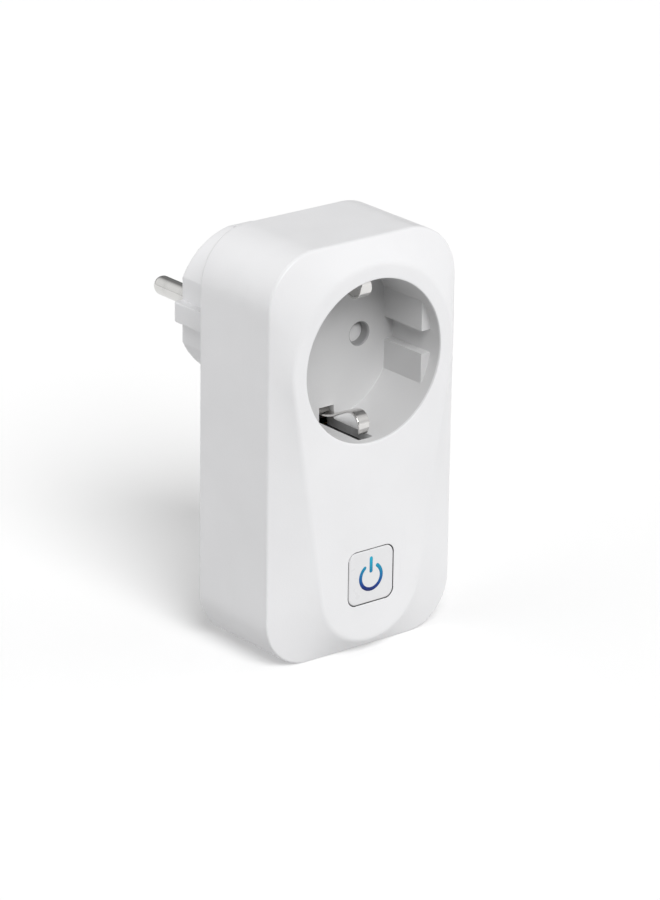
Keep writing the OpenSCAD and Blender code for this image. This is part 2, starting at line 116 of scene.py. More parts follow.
def dense_island(inset=0.0):
    """The raised face's outline: a large circle over a small one, joined by their tangents."""
    r1, z1 = ISLAND_TOP_R - inset, WELL_Z
    r0, z0 = ISLAND_LOW_R - inset, ISLAND_LOW_Z
    tilt = math.degrees(math.asin((r1 - r0) / (z1 - z0)))
    right = arc(0, z0, r0, -90, -tilt, 90) + arc(0, z1, r1, -tilt, 90, 160)
    a, b = right[90], right[91]
    right[91:91] = [(a[0] + (b[0] - a[0]) * i / 60, a[1] + (b[1] - a[1]) * i / 60) for i in range(1, 60)]
    left = [(-x, z) for x, z in reversed(right[1:-1])]
    return right + left


def by_angle(points, angles, cz):
    """Where rays from (0, cz) at these angles meet a closed outline."""
    polar = sorted((math.atan2(z - cz, x) % TAU, x, z) for x, z in points)
    polar = [(polar[-1][0] - TAU, *polar[-1][1:])] + polar + [(polar[0][0] + TAU, *polar[0][1:])]
    out, k = [], 0
    for a in angles:
        while polar[k + 1][0] < a:
            k += 1
        (a0, x0, z0), (a1, x1, z1) = polar[k], polar[k + 1]
        t = (a - a0) / max(a1 - a0, 1e-12)
        out.append((x0 + (x1 - x0) * t, z0 + (z1 - z0) * t))
    return out


RAYS = [TAU * i / 360 for i in range(360)]
RAY_Z = 50.0


def body(inset=0.0):
    """The body's outline, one point per ray."""
    return by_angle(dense_body(inset), RAYS, RAY_Z)


def island(inset=0.0):
    """The raised face's outline, one point per ray, so that it pairs with the body's."""
    return by_angle(dense_island(inset), RAYS, RAY_Z)


def rounded(corners, n=6):
    """A polygon of (x, z, radius) corners with each corner rounded off."""
    out = []
    for i, (x, z, r) in enumerate(corners):
        p = Vector((x, z))
        a = Vector(corners[i - 1][:2]) - p
        b = Vector(corners[(i + 1) % len(corners)][:2]) - p
        if r <= 0:
            out.append((x, z))
            continue
        half = a.angle(b) / 2
        cut = min(r / math.tan(half), a.length * 0.49, b.length * 0.49)
        a, b = p + a.normalized() * cut, p + b.normalized() * cut
        for j in range(n + 1):
            t = j / n
            pull = 2 * t * (1 - t) * math.sin(half)
            q = (a * (1 - t) ** 2 + p * pull + b * t ** 2) / ((1 - t) ** 2 + pull + t ** 2)
            out.append((q.x, q.y))
    return out


def normals(points):
    """Outward normals of an outline that runs counter-clockwise."""
    out = []
    for i in range(len(points)):
        ax, az = points[i - 1]
        bx, bz = points[(i + 1) % len(points)]
        d = math.hypot(bx - ax, bz - az) or 1.0
        out.append(((bz - az) / d, -(bx - ax) / d))
    return out


def area(points):
    """Signed area: positive when the outline runs counter-clockwise."""
    return sum(a[0] * b[1] - b[0] * a[1] for a, b in zip(points, points[1:] + points[:1])) / 2


def drawn_in(points, d):
    """The outline moved inward by d, by its own normals."""
    return [(x - nx * d, z - nz * d) for (x, z), (nx, nz) in zip(points, normals(points))]


def towards_plug_axis(points, d):
    """The boss's outline shrunk by d at its rim. It keeps its shape, so ribs don't fold over."""
    k = 1 - d / BOSS_R
    return [(x * k, PLUG_Z + (z - PLUG_Z) * k) for x, z in points]


def square(w, z, r, n=8):
    """A square of side w with rounded corners, centred on X."""
    h = w / 2
    return rounded([(h, z - h, r), (h, z + h, r), (-h, z + h, r), (-h, z - h, r)], n)


def boss(grow=0.0, rib=0.0, groove=0.0):
    """The plug boss's outline: a circle with two flats, a rib on each flat and a groove above and below."""
    r, flat, g = BOSS_R + grow, BOSS_FLAT + grow, GROOVE_HALF
    ribx, ribz = RIB_X + rib, RIB_HALF + rib
    a = math.degrees(math.acos(flat / r))
    ga = math.degrees(math.asin(g / r))
    quarter = [(ribx, 0.0, 0), (ribx, ribz, 0.35), (flat, ribz, 0.25)]
    quarter += [(x, z, 0) for x, z in arc(0, 0, r, a, 90 - ga, 40)]
    quarter += [(g - 0.01, r * math.cos(math.radians(ga)) - groove, 0)]
    quarter += [(0.0, r * math.cos(math.radians(ga)) - groove, 0)]
    right_low = [(x, -z, q) for x, z, q in reversed(quarter[1:])]
    right = right_low + quarter
    left = [(-x, z, q) for x, z, q in reversed(right[1:-1])]
    return [(x, z + PLUG_Z) for x, z in rounded(right + left, 4)]


# ---------------------------------------------------------------- surfaces

class Shell:
    """A mesh made of rings of points, in millimetres."""

    def __init__(self):
        self.verts, self.faces = [], []

    def ring(self, points, y):
        """Points (x, z) at one depth y, or (x, z) with a depth each."""
        start = len(self.verts)
        depths = y if isinstance(y, (list, tuple)) else [y] * len(points)
        self.verts += [(x * MM, d * MM, z * MM) for (x, z), d in zip(points, depths)]
        return list(range(start, len(self.verts)))

    def ring3(self, points):
        start = len(self.verts)
        self.verts += [(x * MM, y * MM, z * MM) for x, y, z in points]
        return list(range(start, len(self.verts)))

    def bridge(self, a, b, closed=True):
        n = len(a)
        for i in range(n if closed else n - 1):
            j = (i + 1) % n
            self.faces.append((a[i], a[j], b[j], b[i]))
        return b

    def chain(self, rings, closed=False):
        for a, b in zip(rings, rings[1:]):
            self.bridge(a, b)
        if closed:
            self.bridge(rings[-1], rings[0])
        return rings[-1]

    def fill(self, *rings):
        """A flat face inside the first ring, with the others as holes in it."""
        flat = [[Vector((self.verts[i][0], self.verts[i][2], 0)) for i in r] for r in rings]
        index = [i for r in rings for i in r]
        for tri in tessellate_polygon(flat):
            self.faces.append(tuple(index[i] for i in tri))

    def edge(self, ring, d):
        """A second ring at the same depth, d inside the first; a negative d goes outside it."""
        points = [(self.verts[i][0] / MM, self.verts[i][2] / MM) for i in ring]
        flip = 1 if area(points) > 0 else -1
        new = self.ring(drawn_in(points, d * flip), [self.verts[i][1] / MM for i in ring])
        return self.bridge(ring, new)

    def cap(self, ring):
        self.faces.append(tuple(ring))

    def tube(self, x, z, y0, y1, outer, inner, n=40):
        """A closed ring-shaped post along Y."""
        r = [self.ring(circle(x, z, q, n), y) for q, y in
             ((outer, y0), (outer, y1 - 0.3), (outer - 0.3, y1), (inner, y1), (inner, y0))]
        self.chain(r, closed=True)


def raw_mesh(name, shell, clean=True):
    """A mesh from a shell, with its faces turned outward."""
    mesh = bpy.data.meshes.new(name)
    mesh.from_pydata(shell.verts, [], shell.faces)
    bm = bmesh.new()
    bm.from_mesh(mesh)
    if clean:
        bmesh.ops.remove_doubles(bm, verts=bm.verts, dist=2e-7)
        bmesh.ops.dissolve_degenerate(bm, edges=bm.edges, dist=2e-7)
    bmesh.ops.recalc_face_normals(bm, faces=bm.faces)
    bm.to_mesh(mesh)
    bm.free()
    return mesh


def shade(mesh, sharp):
    """Smooth shading, with a crisp edge wherever the surface turns by more than sharp degrees."""
    bm = bmesh.new()
    bm.from_mesh(mesh)
    for f in bm.faces:
        f.smooth = True
    for e in bm.edges:
        e.smooth = len(e.link_faces) != 2 or e.calc_face_angle(0.0) < math.radians(sharp)
    bm.to_mesh(mesh)
    bm.free()


def piece(name, shell, material, body_name, replaces=(), sharp=38.0):
    """A finished object from a shell."""
    mesh = raw_mesh(name, shell)
    shade(mesh, sharp)
    return finish_piece(name, mesh, material, body_name, replaces)


def finish_piece(name, mesh, material, body_name, replaces=()):
    """An object for a mesh, tied to its body and to the CAD nodes whose place it takes."""
    obj = bpy.data.objects.new(name, mesh)
    bpy.context.scene.collection.objects.link(obj)
    obj.data.materials.clear()
    obj.data.materials.append(material)
    weigh = obj.modifiers.new("weigh", "WEIGHTED_NORMAL")
    weigh.keep_sharp = True
    weigh.weight = 90
    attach(obj, body_name)
    if replaces:
        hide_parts(*replaces)
    return obj


def curve3(p0, p1, p2, n=5):
    """Points of a quadratic curve between p0 and p2."""
    out = []
    for i in range(n + 1):
        t = i / n
        out.append(tuple(a * (1 - t) ** 2 + 2 * b * t * (1 - t) + c * t ** 2 for a, b, c in zip(p0, p1, p2)))
    return out


# ---------------------------------------------------------------- materials

class Paint:
    """A node material under construction."""

    def __init__(self, name, rough, metallic=0.0, ior=1.46, coat=0.0, subsurface=0.0, specular=0.5):
        self.mat = bpy.data.materials.new(name)
        self.mat.use_nodes = True
        self.nodes, self.links = self.mat.node_tree.nodes, self.mat.node_tree.links
        self.bsdf = self.nodes["Principled BSDF"]
        self.bsdf.inputs["Roughness"].default_value = rough
        self.bsdf.inputs["Metallic"].default_value = metallic
        self.bsdf.inputs["IOR"].default_value = ior
        self.bsdf.inputs["Specular IOR Level"].default_value = specular
        self.bsdf.inputs["Coat Weight"].default_value = coat
        self.bsdf.inputs["Coat Roughness"].default_value = 0.12
        if subsurface:
            self.bsdf.inputs["Subsurface Weight"].default_value = subsurface
            self.bsdf.inputs["Subsurface Radius"].default_value = (1.0, 0.95, 0.9)
            self.bsdf.inputs["Subsurface Scale"].default_value = 0.0006
        self.coord = self.nodes.new("ShaderNodeTexCoord")

    def node(self, kind, **values):
        n = self.nodes.new(kind)
        for key, value in values.items():
            if hasattr(n, key):
                setattr(n, key, value)
            else:
                n.inputs[key.replace("_", " ")].default_value = value
        return n

    def noise(self, scale, detail=4.0, rough=0.55, stretch=(1, 1, 1)):
        mapping = self.node("ShaderNodeMapping")
        mapping.inputs["Scale"].default_value = stretch
        self.links.new(self.coord.outputs["Object"], mapping.inputs["Vector"])
        n = self.node("ShaderNodeTexNoise", Scale=scale, Detail=detail, Roughness=rough)
        self.links.new(mapping.outputs["Vector"], n.inputs["Vector"])
        return n.outputs["Fac"]

    def remap(self, source, a, b, lo=0.3, hi=0.7):
        n = self.node("ShaderNodeMapRange")
        n.inputs["From Min"].default_value = lo
        n.inputs["From Max"].default_value = hi
        n.inputs["To Min"].default_value = a
        n.inputs["To Max"].default_value = b
        self.links.new(source, n.inputs["Value"])
        return n.outputs["Result"]

    def ramp(self, source, stops):
        n = self.node("ShaderNodeValToRGB")
        r = n.color_ramp
        r.elements[0].position, r.elements[0].color = stops[0][0], (*stops[0][1], 1)
        r.elements[1].position, r.elements[1].color = stops[-1][0], (*stops[-1][1], 1)
        for pos, colour in stops[1:-1]:
            r.elements.new(pos).color = (*colour, 1)
        self.links.new(source, n.inputs["Fac"])
        return n.outputs["Color"]

    def mix(self, fac, a, b):
        n = self.node("ShaderNodeMix", data_type="RGBA")
        for key, value in ((6, a), (7, b)):
            if hasattr(value, "node"):
                self.links.new(value, n.inputs[key])
            else:
                n.inputs[key].default_value = (*value, 1)
        self.links.new(fac, n.inputs[0])
        return n.outputs[2]

    def colour(self, source):
        self.links.new(source, self.bsdf.inputs["Base Color"])

    def roughness(self, source, a, b, lo=0.3, hi=0.7):
        self.links.new(self.remap(source, a, b, lo, hi), self.bsdf.inputs["Roughness"])

    def bump(self, layers):
        """Layers of (height source, distance in metres), strongest detail last."""
        last = None
        for source, distance in layers:
            b = self.node("ShaderNodeBump")
            b.inputs["Strength"].default_value = 1.0
            b.inputs["Distance"].default_value = distance
            self.links.new(source, b.inputs["Height"])
            if last is not None:
                self.links.new(last, b.inputs["Normal"])
            last = b.outputs["Normal"]
        self.links.new(last, self.bsdf.inputs["Normal"])


def tint(c, k):
    """A colour made lighter or darker by the factor k."""
    return tuple(min(1.0, x * k) for x in c)


def plastic(name, colour, rough=0.34, grain=0.00002, scale=2600.0, coat=0.0, soft=0.0, spread=0.03):
    """Moulded plastic: fine spark-eroded grain, faint cloudy colour and rubbed patches."""
    p = Paint(name, rough, coat=coat, subsurface=soft)
    cloud = p.noise(38.0, 3.0)
    fine = p.noise(scale, 2.0, 0.6)
    base = p.mix(p.remap(cloud, 0.0, 1.0), tint(colour, 1 - spread), tint(colour, 1 + spread * 0.5))
    scuff = p.remap(p.noise(320.0, 6.0, 0.7, (1, 1, 0.15)), 0.0, 1.0, 0.62, 0.78)
    p.colour(p.mix(scuff, base, tint(colour, 1 - spread)))
    p.roughness(p.noise(140.0, 5.0), rough * 0.86, rough * 1.18)
    p.bump([(p.noise(55.0, 2.0), 0.000012), (fine, grain)])
    return p.mat


def metal(name, colour, rough=0.16, stretch=(1, 1, 1), scratch=900.0, depth=0.000006, stain=None):
    """Worked metal: drawing lines, fine scratches and a little tarnish."""
    p = Paint(name, rough, metallic=1.0)
    lines = p.noise(scratch, 3.0, 0.7, stretch)
    dull = p.noise(160.0, 6.0, 0.65)
    stain = stain or tint(colour, 0.72)
    p.colour(p.mix(p.remap(dull, 0.0, 0.55, 0.45, 0.75), colour, stain))
    p.roughness(dull, rough * 0.75, rough * 1.7)
    p.bump([(lines, depth)])
    return p.mat


def circuit(name, colour):
    """A board: solder mask over faint copper tracks, with small pads."""
    p = Paint(name, 0.38, coat=0.3)
    cells = p.node("ShaderNodeTexVoronoi", feature="DISTANCE_TO_EDGE", Scale=420.0)
    p.links.new(p.coord.outputs["Object"], cells.inputs["Vector"])
    track = p.remap(cells.outputs["Distance"], 1.0, 0.0, 0.03, 0.09)
    pads = p.node("ShaderNodeTexVoronoi", Scale=260.0)
    p.links.new(p.coord.outputs["Object"], pads.inputs["Vector"])
    pad = p.remap(pads.outputs["Distance"], 1.0, 0.0, 0.10, 0.14)
    base = p.mix(track, colour, tint(colour, 1.9))
    p.colour(p.mix(pad, base, (0.62, 0.60, 0.55)))
    p.roughness(p.noise(300.0), 0.3, 0.48)
    p.bump([(track, 0.00003), (pad, 0.00005)])
    return p.mat


WHITE = plastic("white_plastic", (0.80, 0.80, 0.81), rough=0.36, soft=0.05)
# Painted shade: the recess's white plastic is made darker than the body's, standing in for the shade deep
# inside the recess
WELL_WHITE_PAINTED_SHADE = plastic("well_plastic", (0.64, 0.64, 0.642), rough=0.42)
BUTTON_WHITE = plastic("button_plastic", (0.75, 0.75, 0.76), rough=0.30, grain=0.000012)
SHUTTER_GREY = plastic("shutter_plastic", (0.92, 0.92, 0.92), rough=0.30)
# Painted shade for the narrow gaps round the button
GAP_PAINTED_SHADE = plastic("gap_painted_shade", (0.16, 0.16, 0.165), rough=0.5, spread=0.2)
# Painted shade for the bores of the pin holes in the recess
BORE_PAINTED_SHADE = plastic("bore_painted_shade", (0.36, 0.36, 0.365), rough=0.5)
CARRIER_GREY = plastic("carrier_plastic", (0.06, 0.062, 0.066), rough=0.55, grain=0.00004)
BLACK = plastic("black_plastic", (0.02, 0.02, 0.022), rough=0.45, grain=0.00004, spread=0.3)
RELAY_BLUE = plastic("relay_plastic", (0.03, 0.09, 0.28), rough=0.28, coat=0.3, spread=0.15)
LED_CLEAR = plastic("led_plastic", (0.75, 0.80, 0.86), rough=0.12, coat=0.6)
YELLOW = plastic("yellow_film", (0.72, 0.47, 0.07), rough=0.35, scale=900.0, spread=0.12)
BLUE_DIP = plastic("blue_epoxy", (0.04, 0.13, 0.40), rough=0.25, scale=300.0, grain=0.00006, coat=0.4,
                   spread=0.2)
GREEN_LACQUER = plastic("resistor_lacquer", (0.08, 0.24, 0.13), rough=0.4, scale=500.0, spread=0.2)
SLEEVE = plastic("capacitor_sleeve", (0.04, 0.06, 0.12), rough=0.3, scale=700.0, coat=0.3, spread=0.2)
FERRITE = plastic("ferrite", (0.06, 0.06, 0.065), rough=0.62, scale=800.0, grain=0.00008, spread=0.25)
NICKEL = metal("nickel", (0.74, 0.73, 0.715), rough=0.10, stretch=(1, 0.05, 1))
PIN_NICKEL = metal("pin_nickel", (0.66, 0.655, 0.64), rough=0.09, stretch=(1, 0.04, 1), scratch=1400.0)
STEEL = metal("spring_steel", (0.50, 0.50, 0.51), rough=0.24, stretch=(1, 0.1, 0.1))
ZINC = metal("zinc_steel", (0.48, 0.50, 0.52), rough=0.32, scratch=500.0, depth=0.00001,
             stain=(0.40, 0.40, 0.34))
BRASS = metal("brass", (0.60, 0.42, 0.16), rough=0.26, stretch=(0.1, 1, 1), stain=(0.34, 0.21, 0.08))
GOLD = metal("gold_contact", (0.80, 0.58, 0.22), rough=0.2)
COPPER = metal("copper_wire", (0.55, 0.20, 0.08), rough=0.3, stretch=(1, 1, 40), scratch=220.0, depth=0.00012)
GREEN_BOARD = circuit("green_board", (0.02, 0.16, 0.07))
BLUE_BOARD = circuit("blue_board", (0.015, 0.04, 0.16))


def symbol_material():
    """The clear blue of the power symbol, with painted light from its LED: teal at its top and right, navy at
    its bottom.
    """
    p = Paint("light_plastic", 0.30, specular=0.25)
    sep = p.node("ShaderNodeSeparateXYZ")
    p.links.new(p.coord.outputs["Object"], sep.inputs["Vector"])
    z = p.remap(sep.outputs["Z"], 0.0, 1.0, (BUTTON_Z - 4.0) * MM, (BUTTON_Z + 4.6) * MM)
    wave = p.node("ShaderNodeMath", operation="MULTIPLY_ADD")
    p.links.new(sep.outputs["X"], wave.inputs[0])
    wave.inputs[1].default_value = 20.0
    p.links.new(z, wave.inputs[2])
    jitter = p.node("ShaderNodeMath", operation="MULTIPLY_ADD")
    p.links.new(p.noise(500.0), jitter.inputs[0])
    jitter.inputs[1].default_value = 0.05
    p.links.new(wave.outputs[0], jitter.inputs[2])
    c = p.ramp(jitter.outputs[0], [(0.02, (0.001, 0.004, 0.10)), (0.22, (0.001, 0.035, 0.24)),
                                  (0.45, (0.002, 0.13, 0.36)), (0.75, (0.004, 0.27, 0.44)),
                                  (1.0, (0.010, 0.40, 0.58))])
    p.colour(c)
    p.bump([(p.noise(2400.0, 2.0), 0.00001)])
    return p.mat


SYMBOL = symbol_material()

CAD_FINISH = {
    "contact_carrier": CARRIER_GREY, "shutter": SHUTTER_GREY, "shutter_spring": STEEL,
    "line_contact": BRASS, "neutral_contact": BRASS, "earth_strap": STEEL,
    "line_busbar": BRASS, "neutral_busbar": BRASS, "tact_switch": BLACK, "tact_plunger": BLACK,
    "status_led": LED_CLEAR, "control_board": GREEN_BOARD, "radio_board": BLUE_BOARD,
    "radio_shield": ZINC, "board_header": GOLD, "power_board": GREEN_BOARD, "relay_base": BLACK,
    "relay_case": RELAY_BLUE, "relay_coil": COPPER, "relay_yoke": ZINC, "relay_armature": ZINC,
    "relay_fixed_contact": GOLD, "transformer_core": FERRITE, "transformer_winding": YELLOW,
    "bulk_capacitors": SLEEVE, "x_capacitor": YELLOW, "varistor": BLUE_DIP,
    "fuse_resistor": GREEN_LACQUER, "housing_screws": ZINC, "well_screws": ZINC, "board_screws": ZINC,
    "front_cover": WHITE, "rear_housing": WHITE, "socket_well": WELL_WHITE_PAINTED_SHADE, "button_cap": BUTTON_WHITE,
    "light_guide": SYMBOL, "upper_earth_clip": NICKEL, "lower_earth_clip": NICKEL,
    "upper_plug_earth": NICKEL, "lower_plug_earth": NICKEL, "line_pin": PIN_NICKEL,
    "neutral_pin": PIN_NICKEL,
}
for node_name, node_obj in NODES.items():
    node_obj.data.materials.clear()
    node_obj.data.materials.append(CAD_FINISH[node_name])


# ---------------------------------------------------------------- front cover

def corner_spots():
    """Places of the screws that hold the two shells together."""
    return [(sx * 19.9, z) for sx in (-1, 1) for z in (7.6, H - 7.6)]


def well_spots():
    """Places of the screws that hold the recess."""
    return [(sx * x, z) for sx in (-1, 1) for x, z in ((17.5, WELL_Z - 17.5), (12.4, WELL_Z + 21.4))]


def front_cover():
    """The front shell: rim, slope, raised face, its openings and the screw posts inside."""
    s = Shell()
    # One profile per ray, from the seam round the rim, up the slope and over the edge of the raised face
    profiles = []
    for (rx, rz), (fx, fz) in zip(body(), island()):
        a = Vector((rx, RIM, rz))
        b = Vector((fx, FRONT, fz))
        up = (b - a).normalized()
        inward = Vector((b.x - a.x, 0, b.z - a.z)).normalized()
        length = (b - a).length
        soft = min(0.9, length * 0.22)
        profile = [tuple(a + Vector((0, 0.6, 0)) + inward * 0.06)]
        profile += curve3(tuple(a + Vector((0, 0.5, 0))), tuple(a), tuple(a + up * 0.5), 5)
        for t in (0.12, 0.25, 0.4, 0.55, 0.7, 0.85):
            profile.append(tuple(a + up * (0.5 + (length - soft - 0.5) * t)))
        profile += curve3(tuple(b - up * soft), tuple(b), tuple(b + inward * soft), 6)
        profiles.append(profile)
    rings = [s.ring3([p[k] for p in profiles]) for k in range(len(profiles[0]))]
    s.chain(rings)
    # Mouth of the recess
    mouth = []
    for d, y in ((0.28, 0.0), (0.16, 0.02), (0.05, 0.09), (0.0, 0.22), (0.0, 0.6)):
        mouth.append(s.ring(circle(0, WELL_Z, WELL_R + d, 192), FRONT + y))
    mouth.append(s.ring(circle(0, WELL_Z, WELL_R + WELL_WALL, 192), FRONT + 0.6))
    mouth.append(s.ring(circle(0, WELL_Z, WELL_R + 1.5, 192), FRONT + 2.0))
    s.chain(mouth)
    # Opening for the button
    hole_w = BUTTON_W + 0.44
    hole = []
    for d, y in ((0.15, 0.0), (0.08, 0.015), (0.02, 0.06), (0.0, 0.15), (0.0, 2.0)):
        hole.append(s.ring(square(hole_w + 2 * d, BUTTON_Z, 2.4 + d), FRONT + y))
    s.chain(hole)
    s.fill(s.edge(rings[-1], 0.4), s.edge(mouth[0], -0.4), s.edge(hole[0], -0.3))
    # Inside
    back = [s.ring(island(1.4), FRONT + 2.0), s.ring(body(2.2), RIM + 0.9), s.ring(body(3.2), RIM + 1.4),
            s.ring(body(3.2), SEAM + 2.0), s.ring(body(2.1), SEAM + 2.0), s.ring(body(2.1), SEAM)]
    s.chain(back)
    s.bridge(back[-1], rings[0])
    s.fill(back[0], mouth[-1], hole[-1])
    for x, z in corner_spots():
        s.tube(x, z, RIM + 0.3, FRONT + 16.0, 3.0, SCREW_BORE_R)
    for x, z in well_spots():
        s.tube(x, z, FRONT + (1.7 if z < WELL_Z else 2.6), FLOOR, 2.6, SCREW_BORE_R)
    cover = piece("cover_shell", s, WHITE, "shell", ["front_cover"], sharp=30)
    # Painted shade: the walls of the narrow gap round the button are dark grey
    cover.data.materials.append(GAP_PAINTED_SHADE)
    reach = (BUTTON_W + 0.46) / 2
    for f in cover.data.polygons:
        x, y, z = (c / MM for c in f.center)
        if max(abs(x), abs(z - BUTTON_Z)) < reach and FRONT + 0.04 < y < FRONT + 2.1:
            f.material_index = 1
    return cover


front_cover()


# ---------------------------------------------------------------- rear housing

def cavity_outline(flat=15.0, r=16.8):
    """The boss's hollow: a circle cut off flat at both sides."""
    return [(max(-flat, min(flat, x)), z + PLUG_Z) for x, z in circle(0, 0, r, 120, 1.5)]


def rear_housing():
    """The rear shell: sides, back face, plug boss and the hollow inside."""
    s = Shell()
    side = [s.ring(body(0.06), SEAM), s.ring(body(), SEAM + 0.08)]
    soft, steps = 1.2, 10
    for k in range(1, steps):
        side.append(s.ring(body(), SEAM + (BACK - soft - SEAM) * k / steps))
    for k in range(7):
        a = math.radians(90 * k / 6)
        side.append(s.ring(body(soft * (1 - math.cos(a))), BACK - soft * (1 - math.sin(a))))
    s.chain(side)
    # Boss: foot, wall with two grooves, rounded front edge
    no, deep = boss(groove=0.0), boss(groove=1.0)
    walls = [s.ring(boss(0.5, 0.5), BACK), s.ring(boss(0.15, 0.15), BACK + 0.12), s.ring(no, BACK + 0.5),
             s.ring(no, BACK + 1.48), s.ring(deep, BACK + 1.5)]
    for k in range(1, 6):
        walls.append(s.ring(deep, BACK + 1.5 + 17.5 * k / 6))
    walls += [s.ring(deep, BACK + 19.0), s.ring(no, BACK + 19.02), s.ring(no, BOSS_FACE - 0.8)]
    for d, y in ((0.08, 0.5), (0.25, 0.22), (0.5, 0.06), (0.8, 0.0), (1.1, 0.0)):
        walls.append(s.ring(towards_plug_axis(no, d), BOSS_FACE - y))
    s.chain(walls)
    foot = s.bridge(walls[0], s.ring(towards_plug_axis(boss(0.5, 0.5), -0.3), BACK))
    # Pin holes in the boss's face
    pins = []
    for x in (-PIN_X, PIN_X):
        r = [s.ring(circle(x, PLUG_Z, q, 48), BOSS_FACE + y) for q, y in
             ((2.95, 0.0), (2.75, -0.05), (2.7, -0.5), (2.24, -0.5), (2.24, -2.0))]
        s.chain(r)
        pins.append(r)
    s.fill(walls[-1], *[s.edge(r[0], -0.3) for r in pins])
    # Screw wells in the back face
    wells = []
    for x, z in corner_spots():
        r = [s.ring(circle(x, z, q, 48), y) for q, y in
             ((2.75, BACK), (2.6, BACK - 0.05), (2.5, BACK - 0.25), (2.5, FRONT + 19.0),
              (SCREW_BORE_R, FRONT + 19.0), (SCREW_BORE_R, FRONT + 16.05),
              (3.6, FRONT + 16.05), (3.6, BACK - 2.0))]
        s.chain(r)
        wells.append(r)
    s.fill(s.edge(side[-1], 0.4), foot, *[s.edge(r[0], -0.3) for r in wells])
    # Inside
    inner = [s.ring(body(2.0), BACK - 2.0), s.ring(body(2.0), SEAM)]
    s.chain(inner)
    s.bridge(inner[-1], side[0])
    cavity = cavity_outline()
    hollow = [s.ring(cavity, BACK - 2.0), s.ring(cavity, BOSS_FACE - 2.0)]
    s.chain(hollow)
    s.fill(inner[0], hollow[0], *[r[-1] for r in wells])
    s.fill(hollow[1], *[r[-1] for r in pins])
    return piece("housing_shell", s, WHITE, "shell", ["rear_housing"], sharp=30)


rear_housing()


# ---------------------------------------------------------------- socket recess

CORNER_GAP = math.atan2(GUIDE_GAP, GUIDE_X)     # where a guide's flat meets its gap
CORNER_WALL = math.acos(GUIDE_X / WELL_R)       # where a guide's flat meets the wall
GAP_WALL = math.asin(GUIDE_GAP / WELL_R)


def guide_angles():
    """Angles round the recess, with one on every corner of the guides."""
    corners = (CORNER_GAP, CORNER_GAP + 0.02, CORNER_WALL, GAP_WALL, CORNER_WALL - 0.02)
    marks = sorted({round((side + d * v) % TAU, 9)
                    for side in (0, math.pi) for d in (1, -1) for v in corners})
    grid = [TAU * i / 320 for i in range(320)]
    return sorted([a for a in grid if min(abs(a - m) for m in marks) > 0.006] + marks)


def guide_radius(a):
    """Distance from the axis to the recess's wall, guides included."""
    across, along = abs(math.sin(a)), abs(math.cos(a))
    turn = min(a % math.pi, math.pi - a % math.pi)
    if turn >= CORNER_WALL:
        return WELL_R
    if turn >= CORNER_GAP - 1e-7:
        return GUIDE_X / along
    return min(WELL_R, GUIDE_GAP / across) if across > 1e-9 else WELL_R


def recess_shell():
    """The recess from its lip past the side guides to the floor, and its outside."""
    s = Shell()
    angles = guide_angles()

    def ring(radius, y):
        return s.ring([(radius(a) * math.cos(a), WELL_Z + radius(a) * math.sin(a)) for a in angles], y)

    def wall(d=0.0):
        return lambda a: WELL_R + d

    def narrow(d):
        """The guides' contour moved in by d."""
        return lambda a: guide_radius(a) - d

    def bevel(d):
        """The guides' contour drawn back by d towards the wall."""
        return lambda a: min(WELL_R, guide_radius(a) + d)

    top = GUIDE + 0.3
    rings = [ring(wall(), LIP), ring(wall(), GUIDE - 0.8), ring(wall(), GUIDE), ring(bevel(0.3), GUIDE),
             ring(bevel(0.12), GUIDE + 0.04), ring(bevel(0.03), GUIDE + 0.14), ring(narrow(0.0), top)]
    for k in range(1, 5):
        rings.append(ring(narrow(0.0), top + (FLOOR - 0.22 - GUIDE - 0.3) * k / 4))
    for d, y in ((0.02, 0.13), (0.07, 0.05), (0.15, 0.01), (0.22, 0.0)):
        rings.append(ring(narrow(d), FLOOR - y))
    s.chain(rings)
    s.fill(rings[-1])
    outside = [ring(wall(WELL_WALL), LIP), ring(wall(WELL_WALL), FLOOR_BACK - 0.4),
               ring(wall(1.1), FLOOR_BACK)]
    s.bridge(rings[0], outside[0])
    s.chain(outside)
    s.fill(outside[-1])
    return s


def prism(shell, outline, y0, y1):
    """A closed block with this outline between two depths."""
    a, b = shell.ring(outline, y0), shell.ring(outline, y1)
    shell.bridge(a, b)
    shell.cap(a)
    shell.cap(b)


def recess_additions():
    """Housings over the clip slots, and the ears for the screws."""
    s = Shell()
    for up in (-1, 1):
        z0, z1 = WELL_Z + up * (WELL_R + 0.6), WELL_Z + up * 22.5
        outline = rounded([(CLIP_W, z0, 0.3), (CLIP_W, z1, 0.6), (-CLIP_W, z1, 0.6), (-CLIP_W, z0, 0.3)], 4)
        prism(s, outline, FRONT + 2.3, FLOOR_BACK - 0.05)
    for x, z in well_spots():
        turn = math.atan2(z - WELL_Z, x)
        reach = math.hypot(x, z - WELL_Z)
        ear = [(WELL_R + 0.6, -2.6), (reach, -2.6), *arc(reach, 0, 2.9, -60, 60, 12), (reach, 2.6),
               (WELL_R + 0.6, 2.6)]
        prism(s, [(u * math.cos(turn) - v * math.sin(turn), WELL_Z + u * math.sin(turn) + v * math.cos(turn))
                  for u, v in ear], FLOOR + 0.02, FLOOR_BACK - 0.02)
    return s


def recess_cuts():
    """Pin holes, screw holes and the two clip slots."""
    s = Shell()
    pin_hole = ((3.45, -0.4), (3.05, 0.0), (2.78, 0.18), (2.65, 0.42), (2.65, 4.0))
    screw_hole = ((1.35, -1), (1.35, 4))
    holes = [(x, WELL_Z, 64, pin_hole) for x in (-PIN_X, PIN_X)]
    holes += [(x, z, 24, screw_hole) for x, z in well_spots()]
    for x, z, n, profile in holes:
        r = [s.ring(circle(x, z, q, n), FLOOR + y) for q, y in profile]
        s.chain(r)
        s.cap(r[0])
        s.cap(r[-1])
    for up in (-1, 1):
        z0, z1 = WELL_Z + up * 16.1, WELL_Z + up * 21.7
        prism(s, [(2.2, z0), (2.2, z1), (-2.2, z1), (-2.2, z0)], FRONT + 2.9, FLOOR + 4)
    return s


